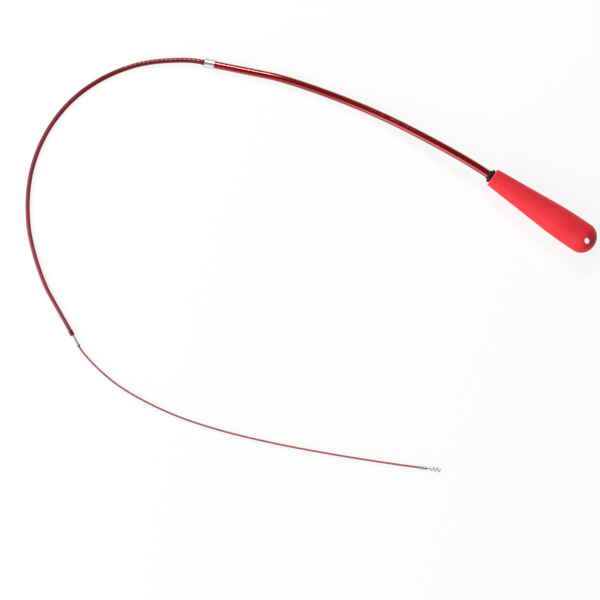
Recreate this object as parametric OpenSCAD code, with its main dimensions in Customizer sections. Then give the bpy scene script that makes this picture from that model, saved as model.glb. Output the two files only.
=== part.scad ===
// Telescopic drain auger: a red handle with three flexible stages,
// two tubes and a wire, drawn out and lying in one loose loop.

/* [Grip] */
// Diameter of the grip at its mouth
grip_mouth_d = 15.2; // [14:0.2:20]
// Full diameter of the grip
grip_d = 25; // [21:0.5:32]
// Length of the cone from the mouth to the full diameter
grip_cone_l = 66; // [60:1:90]
// Length of the straight barrel behind the cone
grip_barrel_l = 20; // [14:1:40]
// Length of the blend between the cone and the barrel
grip_blend_l = 24; // [10:1:26]
// Radius of the rounded edge at the mouth
grip_edge_r = 0.8; // [0.3:0.1:1.2]
// Bevel on each side of the seam between the grip and the cap
seam_bevel = 0.4; // [0.1:0.1:0.8]

/* [Rear cap] */
// Length of the domed end of the cap
cap_l = 12; // [10:0.5:18]
// Length of the spigot that is pressed into the grip
cap_spigot_l = 12; // [8:1:16]
// Diameter of the hang hole
hang_d = 5; // [3:0.5:6]
// Distance of the hang hole behind the seam of the cap
hang_back = 5; // [4:0.5:6]

/* [Mouth bush] */
// Diameter of the flange
flange_d = 11.2; // [10.4:0.2:13]
// Thickness of the flange
flange_t = 2.1; // [1.2:0.1:4]
// Thickness of the narrow step that holds the flange off the grip
step_t = 0.5; // [0.3:0.1:1.5]
// Wall of the neck at its root
neck_root_wall = 0.65; // [0.5:0.05:1.2]
// Wall of the neck at its tip
neck_tip_wall = 0.35; // [0.25:0.05:0.5]
// Length of the tapered neck
neck_l = 1.4; // [1:0.1:4]
// Bevel on the edges of the flange
flange_bevel = 0.35; // [0.1:0.05:0.5]
// Wall of the spigot that sits in the core
spigot_wall = 0.8; // [0.6:0.1:1]
// Length of the spigot
spigot_l = 12; // [8:1:20]

/* [Core and anchor] */
// Wall of the core round the anchor
core_wall = 0.8; // [0.7:0.1:1.2]
// Wall of the anchor
anchor_wall = 1; // [0.8:0.1:1.4]
// Length of the anchor
anchor_l = 14; // [8:1:16]
// Distance from the mouth to the front of the anchor
anchor_depth = 42; // [30:1:50]
// Thickness of the spring clip
clip_t = 1; // [0.6:0.1:1.6]
// Depth of the clip's groove in the core
groove_depth = 0.4; // [0.3:0.05:0.5]
// Opening of the clip
clip_gap = 3; // [2:0.5:4]

/* [Outer tube and ferrule] */
// Wall of the outer tube at its ferrule
outer_wall = 0.55; // [0.3:0.05:0.8]
// How much wider the outer tube is at the handle
outer_taper = 0.7; // [0:0.1:0.8]
// Gap between the outer tube's bore and the middle tube, on the radius
outer_gap = 0.36; // [0.3:0.02:0.6]
// Wall of the ferrule round the outer tube
ferrule_wall = 0.6; // [0.45:0.05:1.2]
// Bevel on the edges of the ferrule
ferrule_bevel = 0.25; // [0.1:0.05:0.4]
// Length of the ferrule on the outer tube
ferrule_grip_l = 3.2; // [2.6:0.2:8]
// Thickness of the ferrule's front lip
lip_t = 0.8; // [0.6:0.1:2]
// Length of the guide
guide_l = 2.7; // [2:0.1:5]
// Thickness of the drag ring
ring_t = 0.9; // [0.6:0.1:2]
// Wall of the wiper ring in the ferrule's lip
wiper_wall = 0.18; // [0.15:0.01:0.3]
// Thickness of the wiper ring's flange behind the lip
wiper_flange_t = 0.6; // [0.4:0.1:1]
// Length of the wiper ring in front of the lip
wiper_out_l = 1.4; // [0.8:0.2:3]

/* [Middle tube] */
// Wall of the middle tube at its far end
middle_wall = 0.42; // [0.32:0.02:0.6]
// How much wider the middle tube is at the ferrule
middle_taper = 0.9; // [0.2:0.1:1.2]
// Length of the stop ring on its rear end
middle_stop_l = 6; // [3:0.5:8]
// How far the middle tube can be drawn out
middle_travel = 35; // [10:1:37]

/* [End sleeve] */
// Wall of the steel sleeve
sleeve_wall = 0.25; // [0.2:0.01:0.35]
// Length of the sleeve that stands out of the tube
sleeve_out_l = 9.2; // [5:0.2:10]
// Length of the sleeve inside the tube
sleeve_in_l = 10; // [6:0.5:12]
// Wall of the band round the tube's end
band_wall = 0.2; // [0.1:0.05:0.3]
// Length of the band
band_l = 4; // [2:0.5:8]
// Wall of the collar on the sleeve
collar_wall = 0.25; // [0.15:0.05:0.6]
// Length of the collar
collar_l = 1.2; // [0.8:0.2:2]

/* [Wire and tip] */
// Diameter of the wire
wire_d = 1.6; // [1.2:0.05:1.8]
// Length of the stop ring on its rear end
wire_stop_l = 4; // [2:0.5:5]
// How far the wire can be drawn out
wire_travel = 20; // [5:1:22]
// Wall of the tip's crimp
crimp_wall = 0.38; // [0.25:0.01:0.5]
// Bevel on the edges of the crimp
crimp_bevel = 0.15; // [0.05:0.05:0.25]
// Length of the wire inside the crimp
crimp_wire_l = 5; // [3:0.5:8]
// Length of the corkscrew's shank inside the crimp
crimp_shank_l = 3; // [2:0.5:6]
// Outside diameter of the corkscrew
spiral_d = 4; // [3:0.1:5]
// Diameter of the corkscrew's wire
spiral_wire_d = 0.9; // [0.6:0.05:1.1]
// Pitch of the corkscrew
spiral_pitch = 3; // [2.4:0.1:4]
// Turns of the corkscrew
spiral_turns = 3; // [2:0.5:5]

/* [Clearances] */
// Running clearance of a stage in its guide, on the radius
run_clear = 0.05; // [0.02:0.01:0.1]
// Clearance of a fixed piece in its seat, on the radius
seat_clear = 0.03; // [0.02:0.01:0.06]
// Clearance of a stop ring in its bore, on the radius
stop_clear = 0.12; // [0.08:0.01:0.16]
// Free space behind a stop ring and behind the core
end_gap = 1; // [0.5:0.1:2]

/* [Hidden] */
$fn = 96;
tube_sides = 12;
wire_sides = 8;
spiral_sides = 6;
spiral_rings_per_turn = 8;
dome_steps = 36;
edge_steps = 12;
blend_steps = 8;
cut = 0.5;
tube_flat = cos(180 / tube_sides);

// Diameters, from the wire outwards
sleeve_bore_d = wire_d + 2 * run_clear;
sleeve_d = sleeve_bore_d + 2 * sleeve_wall;
middle_bore_flat_d = sleeve_d + 2 * seat_clear;
middle_bore_d = middle_bore_flat_d / tube_flat;
middle_end_d = middle_bore_d + 2 * middle_wall;
middle_d = middle_end_d + middle_taper;
outer_bore_flat_d = middle_d + 2 * outer_gap;
outer_bore_d = outer_bore_flat_d / tube_flat;
outer_end_d = outer_bore_d + 2 * outer_wall;
outer_d = outer_end_d + outer_taper;
ferrule_bore_d = outer_end_d + 2 * seat_clear;
ferrule_d = ferrule_bore_d + 2 * ferrule_wall;
guide_bore_d = middle_d + 2 * run_clear;
wiper_d = guide_bore_d + 2 * wiper_wall;
tube_hole_d = outer_d + 2 * seat_clear;
anchor_d = tube_hole_d + 2 * anchor_wall;
anchor_seat_d = anchor_d + 2 * seat_clear;
groove_d = anchor_seat_d + 2 * groove_depth;
core_d = groove_d + 2 * core_wall;
grip_bore_d = core_d + 2 * seat_clear;
spigot_d = tube_hole_d + 2 * spigot_wall;
wire_stop_d = middle_bore_flat_d - 2 * stop_clear;
middle_stop_d = outer_bore_flat_d - 2 * stop_clear;
spiral_seat_d = spiral_wire_d + 2 * seat_clear;
crimp_d = wire_d + 2 * seat_clear + 2 * crimp_wall;

// Lengths along the handle and the stages
grip_l = grip_cone_l + grip_barrel_l;
bush_out_l = step_t + flange_t + neck_l;
core_l = grip_l - cap_spigot_l - end_gap;
ring_depth = lip_t + wiper_flange_t;
guide_depth = ring_depth + ring_t + guide_l;
ferrule_l = guide_depth + ferrule_grip_l;
middle_tail_l = guide_depth + middle_travel + end_gap + middle_stop_l;
wire_tail_l = sleeve_in_l + wire_travel + end_gap + wire_stop_l;
crimp_l = crimp_wire_l + crimp_shank_l;

// Where the handle lies: its axis along X, its underside on the floor,
// and the middle of its length at the origin
mouth_x = (grip_l + cap_l - bush_out_l) / 2;
handle_z = grip_d / 2;
ferrule_z = ferrule_d / 2;
low_z = max(middle_d, spiral_d, middle_end_d + 2 * band_wall + 2 * seat_clear) / 2;

// Routes, seen from above, from the middle of the grip's mouth.
// Each point is x, y and the share of its way down to the floor.
outer_route = [
    [0, 0, 0], [8, 0, 0], [22.5, 0.5, 0.03], [37.5, 1.5, 0.12], [54.5, 3, 0.29],
    [69, 4.5, 0.46], [81.5, 6, 0.61], [99, 8.5, 0.8], [116, 11.5, 0.94], [130.5, 14.5, 1],
    [149.5, 19, 1], [163, 22.5, 1], [178.5, 27, 1], [194, 32.5, 1], [242, 52.5, 1]
];
middle_route = [
    [242, 52.5, 0], [246.8, 54.5, 0], [255, 59, 0.07], [263, 64.5, 0.2], [271, 70.5, 0.4],
    [278.5, 77, 0.6], [285.5, 84, 0.8], [292, 92, 0.95], [297.5, 100, 1], [302.5, 108.5, 1],
    [306.5, 117, 1], [311, 129, 1], [314, 141.5, 1], [315.5, 154, 1], [315.5, 168.5, 1],
    [314, 181, 1], [311.5, 192, 1], [308, 202.5, 1], [302.5, 214.5, 1], [297, 224, 1],
    [290, 234, 1], [283.5, 242, 1], [275.5, 250, 1], [267, 257.5, 1], [258, 264.5, 1],
    [249.5, 270.5, 1], [242, 275, 1], [207.4, 292.3, 1]
];
wire_route = [
    [207.4, 292.3, 1], [197, 297.5, 1], [188, 300.5, 1], [179, 302.5, 1], [170, 304, 1],
    [160, 305, 1], [143.5, 305, 1], [131.5, 304, 1], [119.5, 302.5, 1], [108, 300.5, 1],
    [94.5, 297.5, 1], [83.5, 294.5, 1], [72, 291, 1], [60, 287, 1], [47.5, 282.5, 1],
    [34.5, 277.5, 1], [24.5, 273.5, 1], [12.5, 268.5, 1], [2, 264, 1], [-6, 260.5, 1],
    [-15, 256.5, 1], [-25, 252, 1], [-38, 246, 1], [-56, 237.5, 1], [-71.5, 230, 1],
    [-80.5, 225.5, 1]
];

// Points of a route in space, between the heights at its start and on the floor
function in_space(route, start_z, end_z) = [
    for (p = route) [mouth_x + p.x, p.y, start_z + p.z * (end_z - start_z)]
];
function unit(v) = v / norm(v);
function last(list) = list[len(list) - 1];
function end_direction(path) = unit(last(path) - path[len(path) - 2]);
function without_last(list) = [for (i = [0:len(list) - 2]) list[i]];

outer_line = in_space(outer_route, handle_z, ferrule_z);
middle_line = in_space(middle_route, ferrule_z, low_z);
wire_line = in_space(wire_route, ferrule_z, low_z);

// The three straight axes: through the ferrule, the end sleeve and the tip
ferrule_front = last(outer_line);
ferrule_axis = end_direction(outer_line);
sleeve_root = last(middle_line);
sleeve_axis = end_direction(middle_line);
crimp_root = last(wire_line);
tip_axis = end_direction(wire_line);

outer_path = concat(
    [[mouth_x - anchor_depth - anchor_l, 0, handle_z]],
    without_last(outer_line),
    [ferrule_front - guide_depth * ferrule_axis]
);
middle_path = concat([ferrule_front - middle_tail_l * ferrule_axis], middle_line);
wire_path = concat(
    [sleeve_root - wire_tail_l * sleeve_axis],
    wire_line,
    [crimp_root + crimp_wire_l * tip_axis]
);

// Radius of a tube at each of its points, even up to the stretch that tapers
function path_length(path, i) = i == 0 ? 0 : norm(path[i] - path[i - 1]) + path_length(path, i - 1);
function taper(path, first, d_first, d_end) = [
    for (i = [0:len(path) - 1])
        let (whole = path_length(path, len(path) - 1) - path_length(path, first))
        let (along = path_length(path, i) - path_length(path, first))
        d_first / 2 + (d_end - d_first) / 2 * max(0, min(1, along / whole))
];
function even(path, d) = [for (p = path) d / 2];

// Rings square to the path, and the walls between them
function direction(path, i) = unit(path[min(i + 1, len(path) - 1)] - path[max(i - 1, 0)]);
function ring(centre, along, r, sides) =
    let (side = unit(cross([0, 0, 1], along)), up = cross(along, side))
    [for (k = [0:sides - 1]) centre + r * (cos(360 * (k + 0.5) / sides) * side
                                         + sin(360 * (k + 0.5) / sides) * up)];
function rings(path, radii, sides) = [
    for (i = [0:len(path) - 1])
        each ring(path[i], direction(path, i), radii[i], sides)
];
function wall(count, sides, base, inward) = [
    for (i = [0:count - 2], k = [0:sides - 1])
        let (a = base + i * sides + k, b = base + i * sides + (k + 1) % sides)
        each inward ? [[a, b, b + sides], [a, b + sides, a + sides]]
                    : [[a, b + sides, b], [a, a + sides, b + sides]]
];
function annulus(outer_base, inner_base, sides, far) = [
    for (k = [0:sides - 1])
        let (a = outer_base + k, b = outer_base + (k + 1) % sides)
        let (c = inner_base + k, d = inner_base + (k + 1) % sides)
        each far ? [[a, d, b], [a, c, d]] : [[a, b, d], [a, d, c]]
];
function cap_fan(base, sides, far) = [
    for (k = [1:sides - 2]) far ? [base, base + k + 1, base + k] : [base, base + k, base + k + 1]
];

module solid_tube(path, radii, sides) {
    n = len(path);
    polyhedron(
        rings(path, radii, sides),
        concat(
            wall(n, sides, 0, false),
            cap_fan(0, sides, false),
            cap_fan((n - 1) * sides, sides, true)
        )
    );
}

module hollow_tube(path, radii, bore_radii, sides) {
    n = len(path);
    inner = n * sides;
    polyhedron(
        concat(rings(path, radii, sides), rings(path, bore_radii, sides)),
        concat(
            wall(n, sides, 0, false),
            wall(n, sides, inner, true),
            annulus(0, inner, sides, false),
            annulus((n - 1) * sides, inner + (n - 1) * sides, sides, true)
        )
    );
}

// Places children with their +Z along a level axis
module on_axis(point, axis) {
    translate(point) rotate([0, 90, atan2(axis.y, axis.x)]) children();
}
module on_handle() {
    on_axis([mouth_x, 0, handle_z], [1, 0, 0]) children();
}
module pipe(d, bore, from, to) {
    translate([0, 0, from]) difference() {
        cylinder(d = d, h = to - from);
        translate([0, 0, -cut]) cylinder(d = bore, h = to - from + 2 * cut);
    }
}

module bevelled(d, bevel, from, to) {
    rotate_extrude() polygon([
        [0, from], [d / 2 - bevel, from], [d / 2, from + bevel],
        [d / 2, to - bevel], [d / 2 - bevel, to], [0, to]
    ]);
}

// Handle
module handle_grip() {
    mouth_r = grip_mouth_d / 2;
    edge = [
        for (i = [0:edge_steps]) let (a = 90 * i / edge_steps)
            [mouth_r - grip_edge_r + grip_edge_r * cos(a), -grip_edge_r + grip_edge_r * sin(a)]
    ];
    full_r = grip_d / 2;
    slope = (full_r - mouth_r) / (grip_cone_l - grip_edge_r);
    blend = [
        for (i = [0:blend_steps]) let (along = grip_blend_l * i / blend_steps)
            [full_r - slope * along ^ 2 / (2 * grip_blend_l), -grip_cone_l - grip_blend_l / 2 + along]
    ];
    color("red") on_handle() rotate_extrude() polygon(concat(
        [[grip_bore_d / 2, -grip_l], [full_r - seam_bevel, -grip_l], [full_r, -grip_l + seam_bevel]],
        blend,
        edge,
        [[grip_bore_d / 2, 0]]
    ));
}

module rear_cap() {
    dome = [
        for (i = [0:dome_steps]) let (a = 90 * i / dome_steps)
            [grip_d / 2 * cos(a), -grip_l - seam_bevel - (cap_l - seam_bevel) * sin(a)]
    ];
    spigot_r = grip_bore_d / 2 - seat_clear;
    color("red") difference() {
        on_handle() rotate_extrude() polygon(concat(
            [[0, -grip_l + cap_spigot_l], [spigot_r, -grip_l + cap_spigot_l], [spigot_r, -grip_l]],
            [[grip_d / 2 - seam_bevel, -grip_l]],
            dome
        ));
        translate([mouth_x - grip_l - hang_back, 0, -cut]) cylinder(d = hang_d, h = grip_d + 2 * cut);
    }
}

module handle_core() {
    color("dimgray") on_handle() difference() {
        translate([0, 0, -core_l]) cylinder(d = core_d, h = core_l);
        translate([0, 0, -core_l - cut]) cylinder(d = tube_hole_d, h = core_l + 2 * cut);
        translate([0, 0, -spigot_l]) cylinder(d = spigot_d + 2 * seat_clear, h = spigot_l + cut);
        translate([0, 0, -core_l - cut]) cylinder(d = anchor_seat_d, h = core_l - anchor_depth + cut);
        translate([0, 0, -anchor_depth - anchor_l - clip_t - seat_clear])
            cylinder(d = groove_d, h = clip_t + seat_clear);
    }
}

module mouth_bush() {
    neck_base = step_t + flange_t;
    step_d = (flange_d + spigot_d) / 2;
    color("black") on_handle() difference() {
        union() {
            translate([0, 0, -spigot_l]) cylinder(d = spigot_d, h = spigot_l + neck_base);
            cylinder(d = step_d, h = neck_base);
            bevelled(flange_d, flange_bevel, step_t, neck_base);
            translate([0, 0, neck_base]) cylinder(
                d1 = tube_hole_d + 2 * neck_root_wall,
                d2 = tube_hole_d + 2 * neck_tip_wall,
                h = neck_l
            );
        }
        translate([0, 0, -spigot_l - cut]) cylinder(d = tube_hole_d, h = spigot_l + bush_out_l + 2 * cut);
    }
}

module tube_anchor() {
    color("goldenrod") on_handle()
        pipe(anchor_d, tube_hole_d, -anchor_depth - anchor_l, -anchor_depth);
}

module anchor_clip() {
    clip_back = -anchor_depth - anchor_l - clip_t;
    clip_d = groove_d - 2 * seat_clear;
    clip_bore_d = anchor_seat_d - 2 * anchor_wall;
    color("silver") on_handle() difference() {
        pipe(clip_d, clip_bore_d, clip_back, clip_back + clip_t);
        translate([-clip_d, -clip_gap / 2, clip_back - cut]) cube([clip_d, clip_gap, clip_t + 2 * cut]);
    }
}

// First stage
module outer_tube() {
    color("darkred") hollow_tube(
        outer_path,
        taper(outer_path, 1, outer_d, outer_end_d),
        even(outer_path, outer_bore_d),
        tube_sides
    );
}

module outer_ferrule() {
    color("silver") on_axis(ferrule_front, ferrule_axis) difference() {
        bevelled(ferrule_d, ferrule_bevel, -ferrule_l, 0);
        translate([0, 0, -ferrule_l - cut]) cylinder(d = ferrule_bore_d, h = ferrule_l + cut - lip_t);
        translate([0, 0, -lip_t - cut]) cylinder(d = wiper_d + 2 * seat_clear, h = lip_t + 2 * cut);
    }
}

module outer_guide() {
    color("white") on_axis(ferrule_front, ferrule_axis)
        pipe(outer_end_d, guide_bore_d, -guide_depth, -ring_depth - ring_t);
}

module drag_ring() {
    color("black") on_axis(ferrule_front, ferrule_axis)
        pipe(outer_end_d, guide_bore_d, -ring_depth - ring_t, -ring_depth);
}

module wiper_ring() {
    color("darkslategray") on_axis(ferrule_front, ferrule_axis) {
        pipe(outer_end_d, guide_bore_d, -ring_depth, -lip_t);
        pipe(wiper_d, guide_bore_d, -ring_depth, wiper_out_l);
    }
}

// Second stage
module middle_tube() {
    color("firebrick") hollow_tube(
        middle_path,
        taper(middle_path, 1, middle_d, middle_end_d),
        even(middle_path, middle_bore_d),
        tube_sides
    );
}

module middle_stop() {
    color("goldenrod") on_axis(ferrule_front, ferrule_axis)
        pipe(middle_stop_d, middle_d + 2 * seat_clear, -middle_tail_l, -middle_tail_l + middle_stop_l);
}

module end_band() {
    band_bore_d = middle_end_d + 2 * seat_clear + middle_taper * band_l / norm(sleeve_root - ferrule_front);
    color("maroon") on_axis(sleeve_root, sleeve_axis)
        pipe(band_bore_d + 2 * band_wall, band_bore_d, -band_l, 0);
}

module end_sleeve() {
    color("gray") on_axis(sleeve_root, sleeve_axis)
        pipe(sleeve_d, sleeve_bore_d, -sleeve_in_l, sleeve_out_l + collar_l);
}

module sleeve_collar() {
    collar_bore_d = sleeve_d + 2 * seat_clear;
    color("black") on_axis(sleeve_root, sleeve_axis)
        pipe(collar_bore_d + 2 * collar_wall, collar_bore_d, sleeve_out_l, sleeve_out_l + collar_l);
}

// Third stage
module wire() {
    color("crimson") solid_tube(wire_path, even(wire_path, wire_d), wire_sides);
}

module wire_stop() {
    color("goldenrod") on_axis(sleeve_root, sleeve_axis)
        pipe(wire_stop_d, wire_d + 2 * seat_clear, -wire_tail_l, -wire_tail_l + wire_stop_l);
}

module tip_crimp() {
    color("gray") on_axis(crimp_root, tip_axis) difference() {
        bevelled(crimp_d, crimp_bevel, 0, crimp_l);
        translate([0, 0, -cut]) cylinder(d = wire_d + 2 * seat_clear, h = crimp_wire_l + cut);
        translate([0, 0, crimp_wire_l - cut]) cylinder(d = spiral_seat_d, h = crimp_shank_l + 2 * cut);
    }
}

// The corkscrew leaves the crimp on its axis and swings out to its full radius
// in the first turn
spiral_r = (spiral_d - spiral_wire_d) / 2;
spiral_steps = ceil(spiral_turns * spiral_rings_per_turn);
function spiral_point(turn) =
    let (r = spiral_r * (1 - cos(180 * min(1, turn))) / 2)
    [r * cos(360 * turn), r * sin(360 * turn), crimp_l + spiral_wire_d + turn * spiral_pitch];
function placed(p, root, axis) =
    let (side = [-axis.y, axis.x, 0], up = [0, 0, 1])
    root + p.x * up + p.y * side + p.z * axis;
spiral_shank = [[0, 0, crimp_wire_l], [0, 0, crimp_l]];
spiral_turned = [for (i = [0:spiral_steps]) spiral_point(i / spiral_rings_per_turn)];
spiral_out = last(spiral_turned) + spiral_wire_d * end_direction(spiral_turned);
spiral_path = [
    for (p = concat(spiral_shank, spiral_turned, [spiral_out]))
        placed(p, crimp_root, tip_axis)
];

// Least gap between curls at least half a turn apart
spiral_gap = min([
    for (i = [0:len(spiral_turned) - 1], j = [0:len(spiral_turned) - 1])
        if (j - i >= spiral_rings_per_turn / 2) norm(spiral_turned[j] - spiral_turned[i])
]) - spiral_wire_d;
echo(spiral_gap = spiral_gap);

module tip_spiral() {
    color("gray") solid_tube(spiral_path, even(spiral_path, spiral_wire_d), spiral_sides);
}

handle_grip();
rear_cap();
handle_core();
mouth_bush();
tube_anchor();
anchor_clip();
outer_tube();
outer_ferrule();
outer_guide();
drag_ring();
wiper_ring();
middle_tube();
middle_stop();
end_band();
end_sleeve();
sleeve_collar();
wire();
wire_stop();
tip_crimp();
tip_spiral();
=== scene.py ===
import math

import bpy
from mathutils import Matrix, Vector


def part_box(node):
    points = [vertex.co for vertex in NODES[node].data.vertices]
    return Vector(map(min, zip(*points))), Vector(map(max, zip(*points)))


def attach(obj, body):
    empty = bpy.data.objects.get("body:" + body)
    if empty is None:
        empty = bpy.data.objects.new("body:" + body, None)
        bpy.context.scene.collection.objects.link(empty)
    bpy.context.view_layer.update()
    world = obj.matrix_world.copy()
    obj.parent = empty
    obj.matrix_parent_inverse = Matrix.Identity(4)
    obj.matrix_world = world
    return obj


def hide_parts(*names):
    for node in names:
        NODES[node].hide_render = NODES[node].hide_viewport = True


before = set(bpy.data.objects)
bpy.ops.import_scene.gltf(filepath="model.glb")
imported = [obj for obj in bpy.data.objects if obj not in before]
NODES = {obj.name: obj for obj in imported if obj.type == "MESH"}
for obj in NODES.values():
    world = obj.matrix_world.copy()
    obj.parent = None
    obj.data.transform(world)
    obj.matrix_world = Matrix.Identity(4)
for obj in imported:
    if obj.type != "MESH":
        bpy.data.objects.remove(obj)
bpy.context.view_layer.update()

MM = 0.001
UP = Vector((0, 0, 1))


# Camera: straight above the loop, turned so that the handle comes in from the right
FRAME_WIDTH = 480 * MM
CAMERA_DISTANCE = 4.0
CAMERA_TURN = math.radians(214)
FOCUS_FROM_MOUTH = (72.4, 167.2)
FOCUS_HEIGHT = 4 * MM

mouth = Vector((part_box("handle_grip")[1].x, 0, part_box("handle_grip")[1].z / 2))
view_right = Vector((math.cos(CAMERA_TURN), math.sin(CAMERA_TURN), 0))
view_up = UP.cross(view_right)


def from_mouth(x, y, z):
    """A point of the part, given in millimetres from the grip's mouth and a height in metres."""
    return Vector((mouth.x + x * MM, y * MM, z))


focus = from_mouth(*FOCUS_FROM_MOUTH, FOCUS_HEIGHT)
camera_data = bpy.data.cameras.new("camera")
camera_data.sensor_fit = "HORIZONTAL"
camera_data.angle = 2 * math.atan(FRAME_WIDTH / 2 / CAMERA_DISTANCE)
camera = bpy.data.objects.new("camera", camera_data)
camera.location = focus + CAMERA_DISTANCE * UP
camera.rotation_euler = (0, 0, CAMERA_TURN)
bpy.context.scene.collection.objects.link(camera)
bpy.context.scene.camera = camera


# Routes of the three stages, seen from above, from the middle of the grip's mouth.
# Each point is x, y and the share of its way down to the floor.
OUTER_ROUTE = [
    (0, 0, 0), (8, 0, 0), (22.5, 0.5, 0.03), (37.5, 1.5, 0.12), (54.5, 3, 0.29),
    (69, 4.5, 0.46), (81.5, 6, 0.61), (99, 8.5, 0.8), (116, 11.5, 0.94), (130.5, 14.5, 1),
    (149.5, 19, 1), (163, 22.5, 1), (178.5, 27, 1), (194, 32.5, 1), (242, 52.5, 1),
]
MIDDLE_ROUTE = [
    (242, 52.5, 0), (246.8, 54.5, 0), (255, 59, 0.07), (263, 64.5, 0.2), (271, 70.5, 0.4),
    (278.5, 77, 0.6), (285.5, 84, 0.8), (292, 92, 0.95), (297.5, 100, 1), (302.5, 108.5, 1),
    (306.5, 117, 1), (311, 129, 1), (314, 141.5, 1), (315.5, 154, 1), (315.5, 168.5, 1),
    (314, 181, 1), (311.5, 192, 1), (308, 202.5, 1), (302.5, 214.5, 1), (297, 224, 1),
    (290, 234, 1), (283.5, 242, 1), (275.5, 250, 1), (267, 257.5, 1), (258, 264.5, 1),
    (249.5, 270.5, 1), (242, 275, 1), (207.4, 292.3, 1),
]
WIRE_ROUTE = [
    (207.4, 292.3, 1), (197, 297.5, 1), (188, 300.5, 1), (179, 302.5, 1), (170, 304, 1),
    (160, 305, 1), (143.5, 305, 1), (131.5, 304, 1), (119.5, 302.5, 1), (108, 300.5, 1),
    (94.5, 297.5, 1), (83.5, 294.5, 1), (72, 291, 1), (60, 287, 1), (47.5, 282.5, 1),
    (34.5, 277.5, 1), (24.5, 273.5, 1), (12.5, 268.5, 1), (2, 264, 1), (-6, 260.5, 1),
    (-15, 256.5, 1), (-25, 252, 1), (-38, 246, 1), (-56, 237.5, 1), (-71.5, 230, 1),
    (-80.5, 225.5, 1),
]

# Diameters and lengths of the stages
OUTER_D = 6.77 * MM
OUTER_END_D = 6.07 * MM
MIDDLE_D = 4.08 * MM
MIDDLE_END_D = 3.18 * MM
WIRE_D = 1.6 * MM
GUIDE_DEPTH = 5.0 * MM
MIDDLE_TAIL = 47.0 * MM
WIRE_TAIL = 35 * MM
CRIMP_WIRE = 5 * MM
CRIMP_LENGTH = 8 * MM
SPIRAL_D = 4 * MM
SPIRAL_WIRE_D = 0.9 * MM
SPIRAL_PITCH = 3 * MM
SPIRAL_TURNS = 3
RING_SPACING = 1.5 * MM
TUBE_SIDES = 32

ferrule_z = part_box("outer_ferrule")[1].z / 2
low_z = (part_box("wire")[0].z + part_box("wire")[1].z) / 2


def in_space(route, start_z, end_z):
    """Points of a route in metres, between the heights at its start and on the floor."""
    return [from_mouth(x, y, start_z + drop * (end_z - start_z)) for x, y, drop in route]


def smooth_line(points, fixed):
    """A smooth curve through the points; fixed gives directions at some of them."""
    slopes = []
    last = len(points) - 1
    for i, point in enumerate(points):
        if i in fixed:
            slopes.append(fixed[i])
            continue
        if i == 0 or i == last:
            a, b = (points[0], points[1]) if i == 0 else (points[last - 1], points[last])
            slopes.append((b - a).normalized())
            continue
        before = point - points[i - 1]
        after = points[i + 1] - point
        mean = before.normalized() * after.length + after.normalized() * before.length
        slopes.append(mean / (before.length + after.length))
    line = [points[0]]
    for i in range(last):
        p, q = points[i], points[i + 1]
        span = (q - p).length
        steps = max(1, round(span / RING_SPACING))
        for k in range(1, steps + 1):
            t = k / steps
            line.append(
                p * (2 * t ** 3 - 3 * t ** 2 + 1)
                + slopes[i] * span * (t ** 3 - 2 * t ** 2 + t)
                + q * (3 * t ** 2 - 2 * t ** 3)
                + slopes[i + 1] * span * (t ** 3 - t ** 2)
            )
    return line


def lengths_along(line, start=0):
    """Length from the start to each point of a line."""
    lengths = [start]
    for a, b in zip(line, line[1:]):
        lengths.append(lengths[-1] + (b - a).length)
    return lengths


def tapered(line, start_d, end_d):
    """Radius at each point of a line, even in its taper."""
    lengths = lengths_along(line)
    return [(start_d + (end_d - start_d) * s / lengths[-1]) / 2 for s in lengths]


def tube(name, line, radii, sides=TUBE_SIDES, start_along=0):
    """A round rod along a line. Its UV map is (share of the way round, from below; metres along)."""
    verts = []
    faces = []
    corners = []
    along = lengths_along(line, start_along)
    for i, point in enumerate(line):
        ahead = (line[min(i + 1, len(line) - 1)] - line[max(i - 1, 0)]).normalized()
        side = UP.cross(ahead).normalized()
        above = ahead.cross(side)
        for k in range(sides):
            turn = 2 * math.pi * k / sides
            verts.append(point + radii[i] * (math.sin(turn) * side - math.cos(turn) * above))
    for i in range(len(line) - 1):
        for k in range(sides):
            n = (k + 1) % sides
            faces.append((i * sides + k, i * sides + n, (i + 1) * sides + n, (i + 1) * sides + k))
            corners += [(k, i), (k + 1, i), (k + 1, i + 1), (k, i + 1)]
    last = len(line) - 1
    for ring in ([(k, 0) for k in reversed(range(sides))], [(k, last) for k in range(sides)]):
        faces.append([i * sides + k for k, i in ring])
        corners += ring
    mesh = bpy.data.meshes.new(name)
    mesh.from_pydata([tuple(v) for v in verts], [], faces)
    uv = mesh.uv_layers.new(name="route")
    for loop, (k, i) in zip(uv.data, corners):
        loop.uv = (k / sides, along[i])
    for face in mesh.polygons:
        face.use_smooth = len(face.vertices) == 4
    piece = bpy.data.objects.new(name, mesh)
    bpy.context.scene.collection.objects.link(piece)
    return piece


def tail(name, root, axis, length, diameter):
    """The straight length of a stage that lies hidden behind its root."""
    line = smooth_line([root - length * axis, root], {})
    return tube(name, line, tapered(line, diameter, diameter), start_along=-length)


# The three cords
outer_points = in_space(OUTER_ROUTE, mouth.z, ferrule_z)
ferrule_front = outer_points[-1]
ferrule_axis = (outer_points[-1] - outer_points[-2]).normalized()
handle_axis = Vector((1, 0, 0))
outer_points[-1] = ferrule_front - GUIDE_DEPTH * ferrule_axis
outer_last = len(outer_points) - 1
outer_line = smooth_line(
    outer_points,
    {0: handle_axis, 1: handle_axis, outer_last - 1: ferrule_axis, outer_last: ferrule_axis},
)
outer_cord = tube("outer_cord", outer_line, tapered(outer_line, OUTER_D, OUTER_END_D))
outer_hidden = mouth.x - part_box("outer_tube")[0].x
outer_tail = tail("outer_tail", outer_points[0], handle_axis, outer_hidden, OUTER_D)

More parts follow.
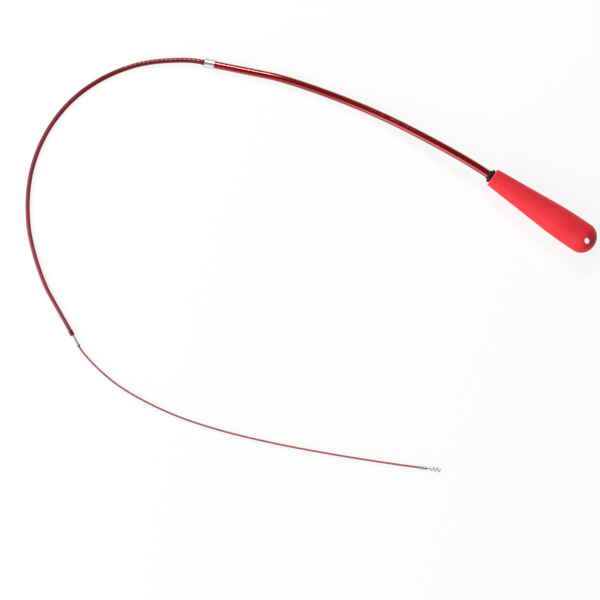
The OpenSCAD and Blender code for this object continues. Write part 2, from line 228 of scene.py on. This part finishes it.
middle_points = in_space(MIDDLE_ROUTE, ferrule_z, low_z)
sleeve_root = middle_points[-1]
sleeve_axis = (middle_points[-1] - middle_points[-2]).normalized()
middle_last = len(middle_points) - 1
middle_line = smooth_line(
    middle_points,
    {0: ferrule_axis, middle_last - 1: sleeve_axis, middle_last: sleeve_axis},
)
middle_cord = tube("middle_cord", middle_line, tapered(middle_line, MIDDLE_D, MIDDLE_END_D))
middle_tail = tail("middle_tail", ferrule_front, ferrule_axis, MIDDLE_TAIL, MIDDLE_D)

wire_points = in_space(WIRE_ROUTE, ferrule_z, low_z)
crimp_root = wire_points[-1]
tip_axis = (wire_points[-1] - wire_points[-2]).normalized()
wire_points.append(crimp_root + CRIMP_WIRE * tip_axis)
wire_last = len(wire_points) - 1
wire_line = smooth_line(
    wire_points,
    {0: sleeve_axis, 1: sleeve_axis, wire_last - 1: tip_axis, wire_last: tip_axis},
)
wire_cord = tube("wire_cord", wire_line, tapered(wire_line, WIRE_D, WIRE_D))
wire_tail = tail("wire_tail", sleeve_root, sleeve_axis, WIRE_TAIL, WIRE_D)

# The corkscrew leaves the crimp on its axis and swings out in its first turn
SPIRAL_STEPS_PER_TURN = 32
SPIRAL_SIDES = 16
spiral_r = (SPIRAL_D - SPIRAL_WIRE_D) / 2
tip_side = UP.cross(tip_axis)


def spiral_point(turn):
    """A point on the middle of the corkscrew's wire, after so many turns."""
    r = spiral_r * (1 - math.cos(math.pi * min(1, turn))) / 2
    ahead = CRIMP_LENGTH + SPIRAL_WIRE_D + turn * SPIRAL_PITCH
    turned = 2 * math.pi * turn
    return crimp_root + r * (math.cos(turned) * UP + math.sin(turned) * tip_side) + ahead * tip_axis


spiral_line = [crimp_root + CRIMP_WIRE * tip_axis, crimp_root + CRIMP_LENGTH * tip_axis]
for step in range(SPIRAL_TURNS * SPIRAL_STEPS_PER_TURN + 1):
    spiral_line.append(spiral_point(step / SPIRAL_STEPS_PER_TURN))
spiral_out = (spiral_line[-1] - spiral_line[-2]).normalized()
spiral_line.append(spiral_line[-1] + SPIRAL_WIRE_D * spiral_out)
corkscrew = tube(
    "corkscrew",
    spiral_line,
    tapered(spiral_line, SPIRAL_WIRE_D, SPIRAL_WIRE_D),
    SPIRAL_SIDES,
)

RIDES = {
    "handle": [outer_cord, outer_tail],
    "middle": [middle_cord, middle_tail],
    "wire": [wire_cord, wire_tail, corkscrew],
}
for body, pieces in RIDES.items():
    for piece in pieces:
        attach(piece, body)

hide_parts("outer_tube")
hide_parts("middle_tube")
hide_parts("wire")
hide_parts("tip_spiral")


# Materials

# Colour sockets of the mix node, which have the same names as its other sockets
MIX_LOW = 6
MIX_HIGH = 7
MIX_RESULT = 2
# Most values of a noise lie between these two
NOISE_START = 0.3
NOISE_END = 0.7


def is_socket(value):
    return isinstance(value, bpy.types.NodeSocket)


class Look:
    """A material being made. Most methods add a node and return what comes out of it."""

    def __init__(self, name):
        self.material = bpy.data.materials.new(name)
        self.material.use_nodes = True
        self.tree = self.material.node_tree

    def feed(self, socket, value):
        """Links a socket to what comes out of a node, or sets its own value."""
        if is_socket(value):
            self.tree.links.new(value, socket)
        else:
            socket.default_value = value

    def add(self, kind, inputs, **settings):
        """A new node, whole, with its inputs and settings."""
        made = self.tree.nodes.new(kind)
        for key, value in settings.items():
            setattr(made, key, value)
        for key, value in inputs.items():
            self.feed(made.inputs[key], value)
        return made

    def shade(self, **values):
        """Sets the shader's own sockets, and returns the finished material."""
        shader = self.tree.nodes["Principled BSDF"]
        for key, value in values.items():
            self.feed(shader.inputs[key.replace("_", " ")], value)
        return self.material

    def along_axis(self, origin, axis):
        """Coordinates in metres from a point of the part, with X along a level axis."""
        coords = self.add("ShaderNodeTexCoord", {}).outputs["Object"]
        turn = math.atan2(axis.y, axis.x)
        inputs = {"Vector": coords, "Location": tuple(origin), "Rotation": (0, 0, turn)}
        return self.add("ShaderNodeMapping", inputs, vector_type="TEXTURE").outputs["Vector"]

    def along_route(self):
        """Coordinates on a tube: X is the share of the way round, and Y is metres along."""
        return self.add("ShaderNodeUVMap", {}, uv_map="route").outputs["UV"]

    def parts(self, vector):
        """The X, Y and Z of a vector, by name."""
        return self.add("ShaderNodeSeparateXYZ", {"Vector": vector}).outputs

    def calc(self, operation, a, b=0.0):
        return self.add("ShaderNodeMath", {0: a, 1: b}, operation=operation).outputs[0]

    def noise(self, vector, scale, detail=3):
        """Noise. Its scale, one number or one for each axis, is in cycles for each unit there."""
        if not isinstance(scale, tuple):
            scale = (scale, scale, scale)
        scaled = self.add("ShaderNodeVectorMath", {0: vector, 1: scale}, operation="MULTIPLY")
        inputs = {"Vector": scaled.outputs[0], "Scale": 1.0, "Detail": detail}
        return self.add("ShaderNodeTexNoise", inputs).outputs["Fac"]

    def span(self, value, low, high, start=NOISE_START, end=NOISE_END):
        """A number that goes from low to high as value goes from start to end."""
        inputs = {"Value": value, "From Min": start, "From Max": end, "To Min": low, "To Max": high}
        return self.add("ShaderNodeMapRange", inputs).outputs["Result"]

    def near(self, value, centre, reach):
        """1 where value is at the centre, falling to 0 at reach from it."""
        away = self.calc("ABSOLUTE", self.calc("SUBTRACT", value, centre))
        return self.span(away, 1.0, 0.0, start=0.0, end=reach)

    def mix(self, share, low, high):
        """A colour between low and high."""
        made = self.add("ShaderNodeMix", {"Factor": share}, data_type="RGBA")
        for socket, colour in ((MIX_LOW, low), (MIX_HIGH, high)):
            self.feed(made.inputs[socket], colour if is_socket(colour) else (*colour, 1))
        return made.outputs[MIX_RESULT]

    def bump(self, height, depth, under=None):
        """A relief of the given depth in metres, over another relief if there is one."""
        inputs = {"Height": height, "Distance": depth}
        if under:
            inputs["Normal"] = under
        return self.add("ShaderNodeBump", inputs).outputs["Normal"]


# Where the looks of the pieces are measured from: a point and the level axis through it
AT_MOUTH = (mouth, handle_axis)
AT_FERRULE = (ferrule_front, ferrule_axis)
AT_SLEEVE = (sleeve_root, sleeve_axis)
AT_CRIMP = (crimp_root, tip_axis)


def grip_look():
    """Moulded red grip: fine spark grain, a parting line along both sides, a paler mouth rim, worn
    and with a painted highlight on its rounded edge.
    """
    red_low = (0.87, 0.024, 0.040)
    red_high = (0.93, 0.029, 0.047)
    worn_and_highlit_red = (0.92, 0.16, 0.17)
    worn_and_highlit_width = 1.0 * MM
    grain_depth = 0.02 * MM
    parting_width = 0.25 * MM
    parting_depth = 0.06 * MM

    look = Look("grip_red")
    place = look.along_axis(*AT_MOUTH)
    sides = look.parts(place)
    cloud = look.span(look.noise(place, scale=45), 0, 1)
    colour = look.mix(cloud, red_low, red_high)
    # Paler mouth rim: rubbed wear mixed with a painted highlight on the rounded edge.
    edge = look.near(sides["X"], 0, worn_and_highlit_width)
    rubbed = look.span(look.noise(place, scale=500), 0.1, 0.6)
    colour = look.mix(look.calc("MULTIPLY", edge, rubbed), colour, worn_and_highlit_red)
    grain = look.bump(look.noise(place, scale=2400, detail=2), grain_depth)
    parting = look.bump(look.near(sides["Z"], 0, parting_width), parting_depth, grain)
    rough = look.span(look.noise(place, scale=260), 0.5, 0.64)
    return look.shade(Base_Color=colour, Roughness=rough, Normal=parting, Specular_IOR_Level=0.3)


def moulded_look(name, spot, low, high, rough, grain):
    """Plain moulded plastic or rubber between two colours, with grain in cycles a metre."""
    grain_depth = 0.012 * MM

    look = Look(name)
    place = look.along_axis(*spot)
    colour = look.mix(look.span(look.noise(place, scale=180), 0, 1), low, high)
    roughness = look.span(look.noise(place, scale=420), *rough)
    relief = look.bump(look.noise(place, scale=grain, detail=2), grain_depth)
    return look.shade(Base_Color=colour, Roughness=roughness, Normal=relief, Specular_IOR_Level=0.25)


def turned_look(name, spot, low, high, rough, lines):
    """Metal turned on a lathe, with a few stains and fine lines round it, in cycles a metre."""
    across_lines = 60
    line_depth = 0.001 * MM
    edge_tint = (0.7, 0.7, 0.69, 1)

    look = Look(name)
    place = look.along_axis(*spot)
    colour = look.mix(look.span(look.noise(place, scale=900), 0, 1), low, high)
    ridges = look.noise(place, scale=(lines, across_lines, across_lines), detail=2)
    return look.shade(
        Base_Color=colour,
        Roughness=look.span(ridges, *rough),
        Normal=look.bump(ridges, line_depth),
        Metallic=1.0,
        Specular_Tint=edge_tint,
    )


def tube_look(name, low, high, rough, shine, metallic, coat, marks=None, painted_sheen=None):
    """Lacquered tube: streaks from drawing it and fine rubs along it; some have marks or a paler
    stretch of painted reflection.
    """
    streak_scale = (26, 7, 1)
    streak_depth = 0.01 * MM
    rub_scale = (70, 30, 1)
    coat_roughness = 0.06

    look = Look(name)
    route = look.along_route()
    streaks = look.noise(route, streak_scale, detail=4)
    colour = look.mix(look.span(streaks, 0, 1), low, high)
    # Painted reflection: a paler colour along a stretch of the tube.
    if painted_sheen:
        along = look.parts(route)["Y"]
        share = look.span(along, 0, 1, painted_sheen["start"], painted_sheen["end"])
        colour = look.mix(share, colour, painted_sheen["colour"])
    if marks:
        colour = look.mix(dashes(look, route, **marks), colour, MARK_COLOUR)
    rubs = look.noise(route, rub_scale)
    return look.shade(
        Base_Color=colour,
        Roughness=look.span(rubs, *rough),
        Normal=look.bump(streaks, streak_depth),
        Specular_IOR_Level=shine,
        Metallic=metallic,
        Coat_Weight=coat,
        Coat_Roughness=coat_roughness,
    )


def dashes(look, route, start, end, pitch, share, turn, width):
    """A row of short worn dashes along a tube, as plain marks."""
    dash_blur = 0.3
    row_blur = 0.4
    end_blur = 0.05
    wear_scale = (40, 700, 1)

    sides = look.parts(route)
    beat = look.calc("FRACT", look.calc("DIVIDE", sides["Y"], pitch))
    dash = look.span(look.near(beat, 0.5, share), 0, 1, start=0.0, end=dash_blur)
    row = look.span(look.near(sides["X"], turn, width), 0, 1, start=0.0, end=row_blur)
    stretch = look.near(sides["Y"], (start + end) / 2, (end - start) / 2)
    inside = look.span(stretch, 0, 1, start=0.0, end=end_blur)
    worn = look.span(look.noise(route, wear_scale, detail=2), 0.1, 1, start=0.35, end=0.6)
    shape = look.calc("MULTIPLY", dash, row)
    return look.calc("MULTIPLY", shape, look.calc("MULTIPLY", inside, worn))


# A row of dashes near the top of the second stage. Share is half a dash, as a part of the pitch.
# Turn and width are parts of the way round.
MARKS = {
    "start": 3 * MM,
    "end": 66 * MM,
    "pitch": 3.6 * MM,
    "share": 0.32,
    "turn": 0.59,
    "width": 0.05,
}
MARK_COLOUR = (0.62, 0.30, 0.29)
# Painted reflection: the second stage gets paler between these distances from the ferrule, standing
# in for the pale sheen along its loop
PAINTED_SHEEN = {
    "start": 90 * MM,
    "end": 260 * MM,
    "colour": (0.32, 0.040, 0.066),
}
BRIGHT_STEEL = {
    "low": (0.42, 0.42, 0.42),
    "high": (0.55, 0.55, 0.54),
    "lines": 7000,
}
BRASS = {
    "low": (0.58, 0.40, 0.15),
    "high": (0.70, 0.50, 0.20),
    "rough": (0.2, 0.35),
    "lines": 7000,
}

outer_red = tube_look(
    "outer_red",
    low=(0.29, 0.003, 0.006),
    high=(0.34, 0.005, 0.009),
    rough=(0.09, 0.13),
    shine=0.5,
    metallic=0.42,
    coat=0.9,
)
middle_red = tube_look(
    "middle_red",
    low=(0.158, 0.004, 0.010),
    high=(0.19, 0.005, 0.013),
    rough=(0.3, 0.42),
    shine=0.42,
    metallic=0.12,
    coat=0.0,
    marks=MARKS,
    painted_sheen=PAINTED_SHEEN,
)
wire_red = tube_look(
    "wire_red",
    low=(0.40, 0.082, 0.106),
    high=(0.47, 0.102, 0.126),
    rough=(0.4, 0.52),
    shine=0.4,
    metallic=0.0,
    coat=0.0,
)
grip_red = grip_look()
black = moulded_look(
    "black_plastic",
    AT_MOUTH,
    low=(0.005, 0.0045, 0.005),
    high=(0.009, 0.008, 0.009),
    rough=(0.4, 0.55),
    grain=1800,
)
rubber = moulded_look(
    "black_rubber",
    AT_FERRULE,
    low=(0.016, 0.016, 0.017),
    high=(0.028, 0.027, 0.027),
    rough=(0.6, 0.75),
    grain=2600,
)
nylon = moulded_look(
    "white_nylon",
    AT_FERRULE,
    low=(0.72, 0.71, 0.67),
    high=(0.80, 0.79, 0.75),
    rough=(0.4, 0.5),
    grain=1500,
)
# Dark maroon wiper ring at the ferrule's mouth: its dark colour is partly painted shade, standing
# for the shadow line there.
wiper = moulded_look(
    "maroon_rubber",
    AT_FERRULE,
    low=(0.10, 0.010, 0.014),
    high=(0.14, 0.015, 0.019),
    rough=(0.5, 0.65),
    grain=2600,
)
maroon = moulded_look(
    "maroon_band",
    AT_SLEEVE,
    low=(0.18, 0.014, 0.020),
    high=(0.22, 0.018, 0.025),
    rough=(0.3, 0.42),
    grain=2200,
)
chrome = turned_look(
    "chrome",
    AT_FERRULE,
    low=(0.68, 0.69, 0.67),
    high=(0.78, 0.78, 0.76),
    rough=(0.34, 0.42),
    lines=5000,
)
sleeve_steel = turned_look(
    "sleeve_steel",
    AT_SLEEVE,
    low=(0.50, 0.49, 0.48),
    high=(0.58, 0.57, 0.56),
    rough=(0.6, 0.7),
    lines=5000,
)
collar_steel = turned_look(
    "collar_steel",
    AT_SLEEVE,
    low=(0.20, 0.19, 0.19),
    high=(0.28, 0.27, 0.27),
    rough=(0.4, 0.5),
    lines=7000,
)
tip_steel = turned_look("tip_steel", AT_CRIMP, rough=(0.25, 0.4), **BRIGHT_STEEL)
clip_steel = turned_look("clip_steel", AT_MOUTH, rough=(0.3, 0.4), **BRIGHT_STEEL)
anchor_brass = turned_look("anchor_brass", AT_MOUTH, **BRASS)
stop_brass = turned_look("stop_brass", AT_FERRULE, **BRASS)

LOOKS = {
    "handle_grip": grip_red,
    "rear_cap": grip_red,
    "handle_core": black,
    "mouth_bush": black,
    "tube_anchor": anchor_brass,
    "anchor_clip": clip_steel,
    "outer_ferrule": chrome,
    "outer_guide": nylon,
    "drag_ring": rubber,
    "wiper_ring": wiper,
    "middle_stop": stop_brass,
    "end_band": maroon,
    "end_sleeve": sleeve_steel,
    "sleeve_collar": collar_steel,
    "wire_stop": stop_brass,
    "tip_crimp": tip_steel,
}
for name, material in LOOKS.items():
    NODES[name].data.materials.clear()
    NODES[name].data.materials.append(material)
for piece, material in (
    (outer_cord, outer_red),
    (outer_tail, outer_red),
    (middle_cord, middle_red),
    (middle_tail, middle_red),
    (wire_cord, wire_red),
    (wire_tail, wire_red),
    (corkscrew, tip_steel),
):
    piece.data.materials.append(material)


# Floor, lights and background
FLOOR_SIZE = 8
FLOOR_COLOUR = (0.95, 0.95, 0.95, 1)
FLOOR_GLOW = 0.82
WORLD_COLOUR = (1, 1, 1, 1)
WORLD_LIGHT = 0.06


def paper_look():
    """White paper that keeps shadows, and glows where it is seen, mirrored or seen through glass."""
    look = Look("floor_white")
    look.shade(Base_Color=FLOOR_COLOUR, Roughness=0.9, Specular_IOR_Level=0.0)
    rays = look.add("ShaderNodeLightPath", {}).outputs
    mirrored = look.calc("MAXIMUM", rays["Is Glossy Ray"], rays["Is Transmission Ray"])
    seen = look.calc("MAXIMUM", rays["Is Camera Ray"], mirrored)
    share = look.calc("MULTIPLY", seen, FLOOR_GLOW)
    paper = look.tree.nodes["Principled BSDF"].outputs["BSDF"]
    glow = look.add("ShaderNodeEmission", {}).outputs["Emission"]
    mixed = look.add("ShaderNodeMixShader", {0: share, 1: paper, 2: glow}).outputs["Shader"]
    look.feed(look.tree.nodes["Material Output"].inputs["Surface"], mixed)
    return look.material


bpy.ops.mesh.primitive_plane_add(size=FLOOR_SIZE, location=(focus.x, focus.y, 0))
floor = bpy.context.object
floor.name = "floor"
floor.data.materials.append(paper_look())


def soft_light(name, spot, image_angle, elevation, distance, width, height, brightness):
    """A flat soft light, placed as it is seen from a spot on the part.

    The angle is in the picture, from its right side towards its top. Brightness 1 is a white sheet.
    """
    data = bpy.data.lights.new(name, "AREA")
    data.shape = "RECTANGLE"
    data.size = width
    data.size_y = height
    data.energy = brightness * math.pi * width * height
    lamp = bpy.data.objects.new(name, data)
    turn = math.radians(image_angle)
    rise = math.radians(elevation)
    level = math.cos(turn) * view_right + math.sin(turn) * view_up
    towards = math.cos(rise) * level + math.sin(rise) * UP
    lamp.location = from_mouth(*spot, FOCUS_HEIGHT) + distance * towards
    lamp.rotation_euler = towards.to_track_quat("Z", "Y").to_euler()
    lamp.visible_camera = False
    bpy.context.scene.collection.objects.link(lamp)


# Spots on the part in millimetres from the grip's mouth, seen from above
NEAR_HANDLE = (30, 1)
NEAR_FERRULE = (189, 30)
LEFT_OF_LOOP = (314, 180)
soft_light(
    "top_light",
    NEAR_FERRULE,
    image_angle=90,
    elevation=46,
    distance=1.9,
    width=0.56,
    height=0.5,
    brightness=21,
)
soft_light(
    "low_light",
    NEAR_HANDLE,
    image_angle=215,
    elevation=29,
    distance=1.8,
    width=1.6,
    height=1.6,
    brightness=2.3,
)
soft_light(
    "left_light",
    LEFT_OF_LOOP,
    image_angle=162,
    elevation=45,
    distance=1.9,
    width=1.8,
    height=0.8,
    brightness=4.4,
)
soft_light(
    "wall_light",
    NEAR_FERRULE,
    image_angle=258,
    elevation=18,
    distance=2.0,
    width=2.4,
    height=1.2,
    brightness=1.0,
)

world = bpy.data.worlds.new("studio")
world.use_nodes = True
bpy.context.scene.world = world
background = world.node_tree.nodes["Background"]
background.inputs["Color"].default_value = WORLD_COLOUR
background.inputs["Strength"].default_value = WORLD_LIGHT
bpy.context.scene.view_settings.view_transform = "Standard"
